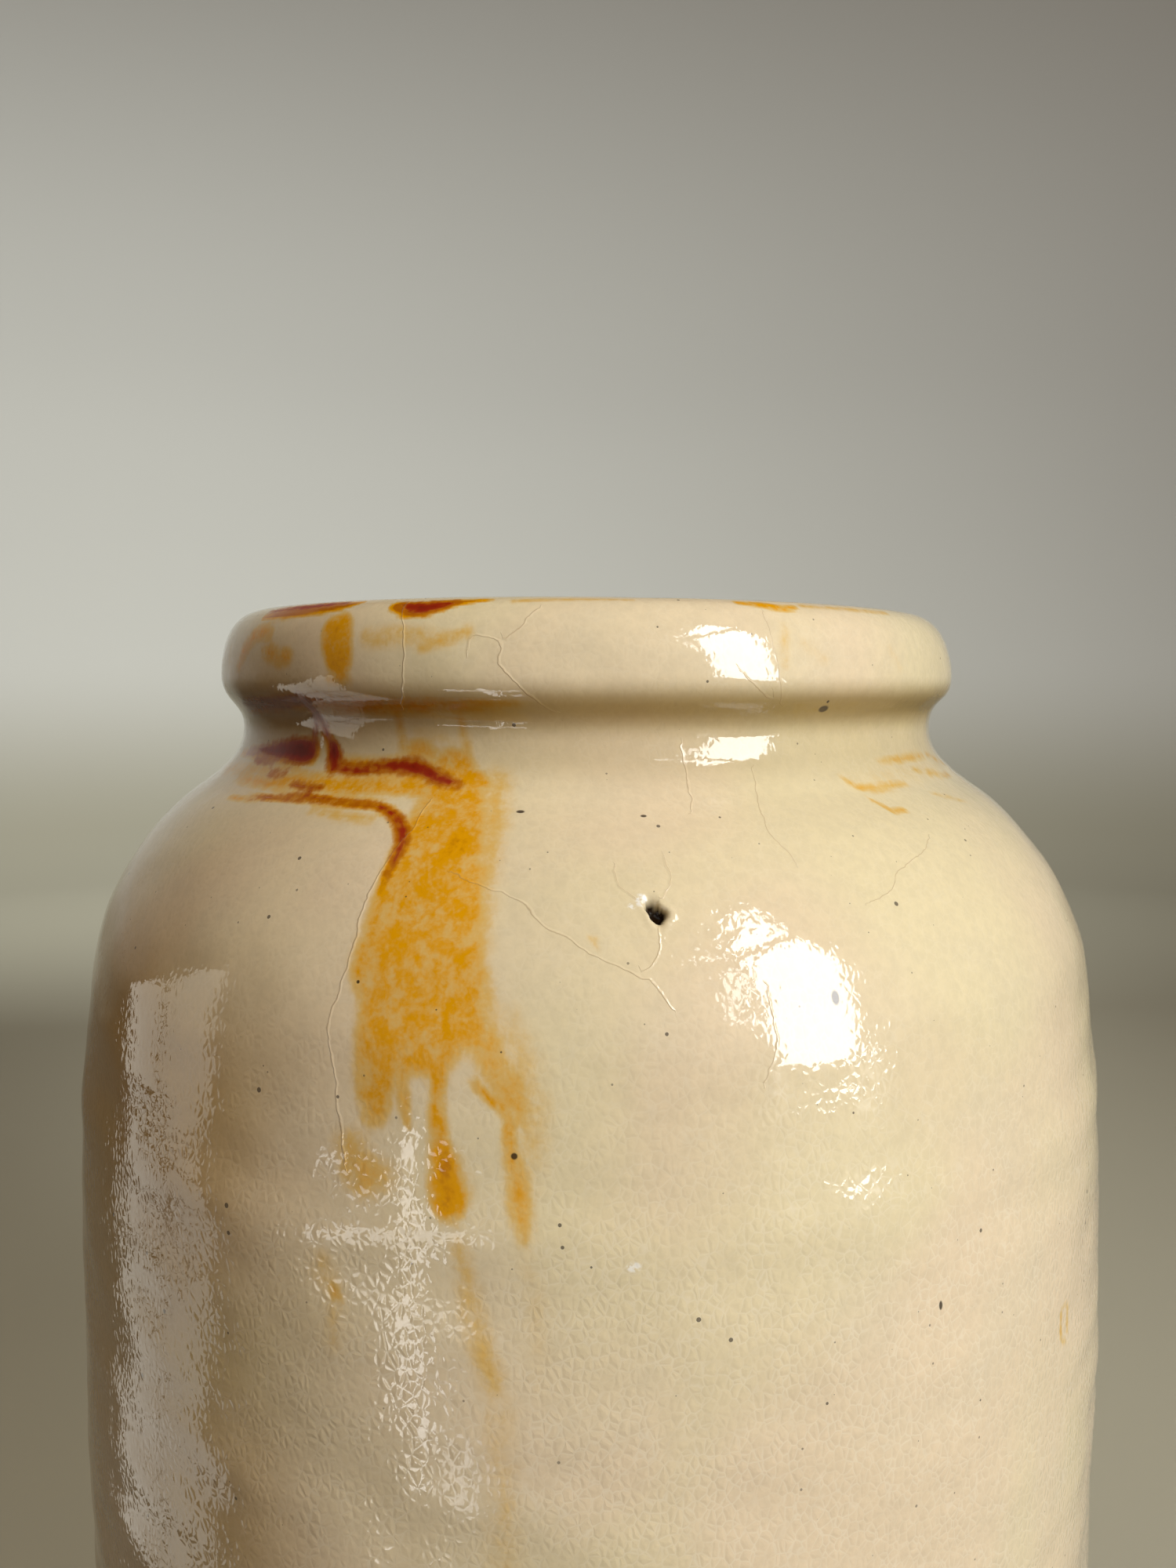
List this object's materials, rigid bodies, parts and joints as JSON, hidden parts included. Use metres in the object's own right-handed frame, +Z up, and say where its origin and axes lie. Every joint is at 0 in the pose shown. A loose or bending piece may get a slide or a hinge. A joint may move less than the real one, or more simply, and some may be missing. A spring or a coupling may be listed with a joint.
{
  "type": "apothecary jar",
  "caption": "Round-shouldered glazed earthenware storage jar with a short neck, a rolled lip for a tied cover, and a bare foot ring.",
  "frame": {"origin": "centre of the foot ring, on the surface that the jar stands on", "axes": "+Z up along the jar's axis; the face with the rust run looks along -Y, and +X is to its right"},
  "size_m": [0.16, 0.16, 0.23],
  "materials": {
    "fired_clay": "bare fired buff clay, matt, iron stained on the worn crest",
    "cream_glaze": "glossy cream lead glaze, finely crazed, with amber rust runs",
    "lining_glaze": "glossy cream lead glaze, finely crazed, a little duller than outside"
  },
  "bodies": {
    "root": {"clay_body": "fired_clay", "outer_glaze": "cream_glaze", "inner_glaze": "lining_glaze", "base_glaze": "cream_glaze"}
  },
  "joints": []
}
